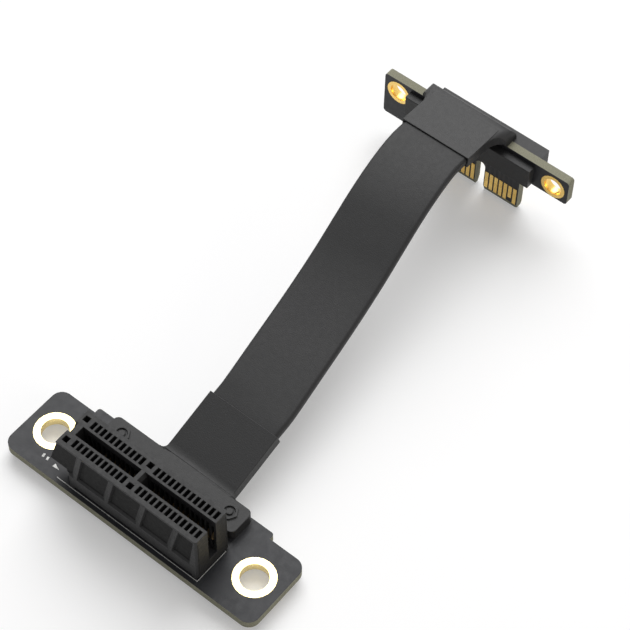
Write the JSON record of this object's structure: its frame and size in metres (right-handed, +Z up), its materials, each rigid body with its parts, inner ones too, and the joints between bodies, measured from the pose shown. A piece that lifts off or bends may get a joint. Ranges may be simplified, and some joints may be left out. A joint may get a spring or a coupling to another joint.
{
  "type": "server riser cable",
  "caption": "Short riser: a flat ribbon cable joins an expansion slot on a small black board with mounting holes to an upright plug board with gold edge fingers.",
  "frame": {"origin": "midway between the socket board's two mounting holes, on the board's underside", "axes": "+X along the slot towards its open end, +Y from the socket board to the plug board, +Z up, the way a card is drawn out of the slot"},
  "size_m": [0.0516, 0.0966, 0.0182],
  "materials": {
    "circuit_board": "black solder mask over glass-epoxy board, satin",
    "slot_plastic": "black moulded connector plastic, fine matte",
    "moulded_grip": "black moulding over the solder joints, satin",
    "cable_jacket": "black flat cable jacket, soft satin",
    "gold_plating": "thin gold plating, polished",
    "copper_wire": "bare copper conductor, hidden in the mouldings"
  },
  "bodies": {
    "root": {"socket_board": "circuit_board", "slot_housing": "slot_plastic", "slot_contacts_front": "gold_plating", "slot_contacts_back": "gold_plating", "socket_hole_plating_left": "gold_plating", "socket_hole_plating_right": "gold_plating", "socket_overmould": "moulded_grip", "socket_pads": "gold_plating", "socket_wires": "copper_wire", "ribbon_cable": "cable_jacket", "plug_wires": "copper_wire", "plug_pads": "gold_plating", "plug_overmould": "moulded_grip", "plug_board": "circuit_board", "plug_hole_plating_left": "gold_plating", "plug_hole_plating_right": "gold_plating", "plug_fingers_front": "gold_plating", "plug_fingers_back": "gold_plating"}
  },
  "joints": []
}
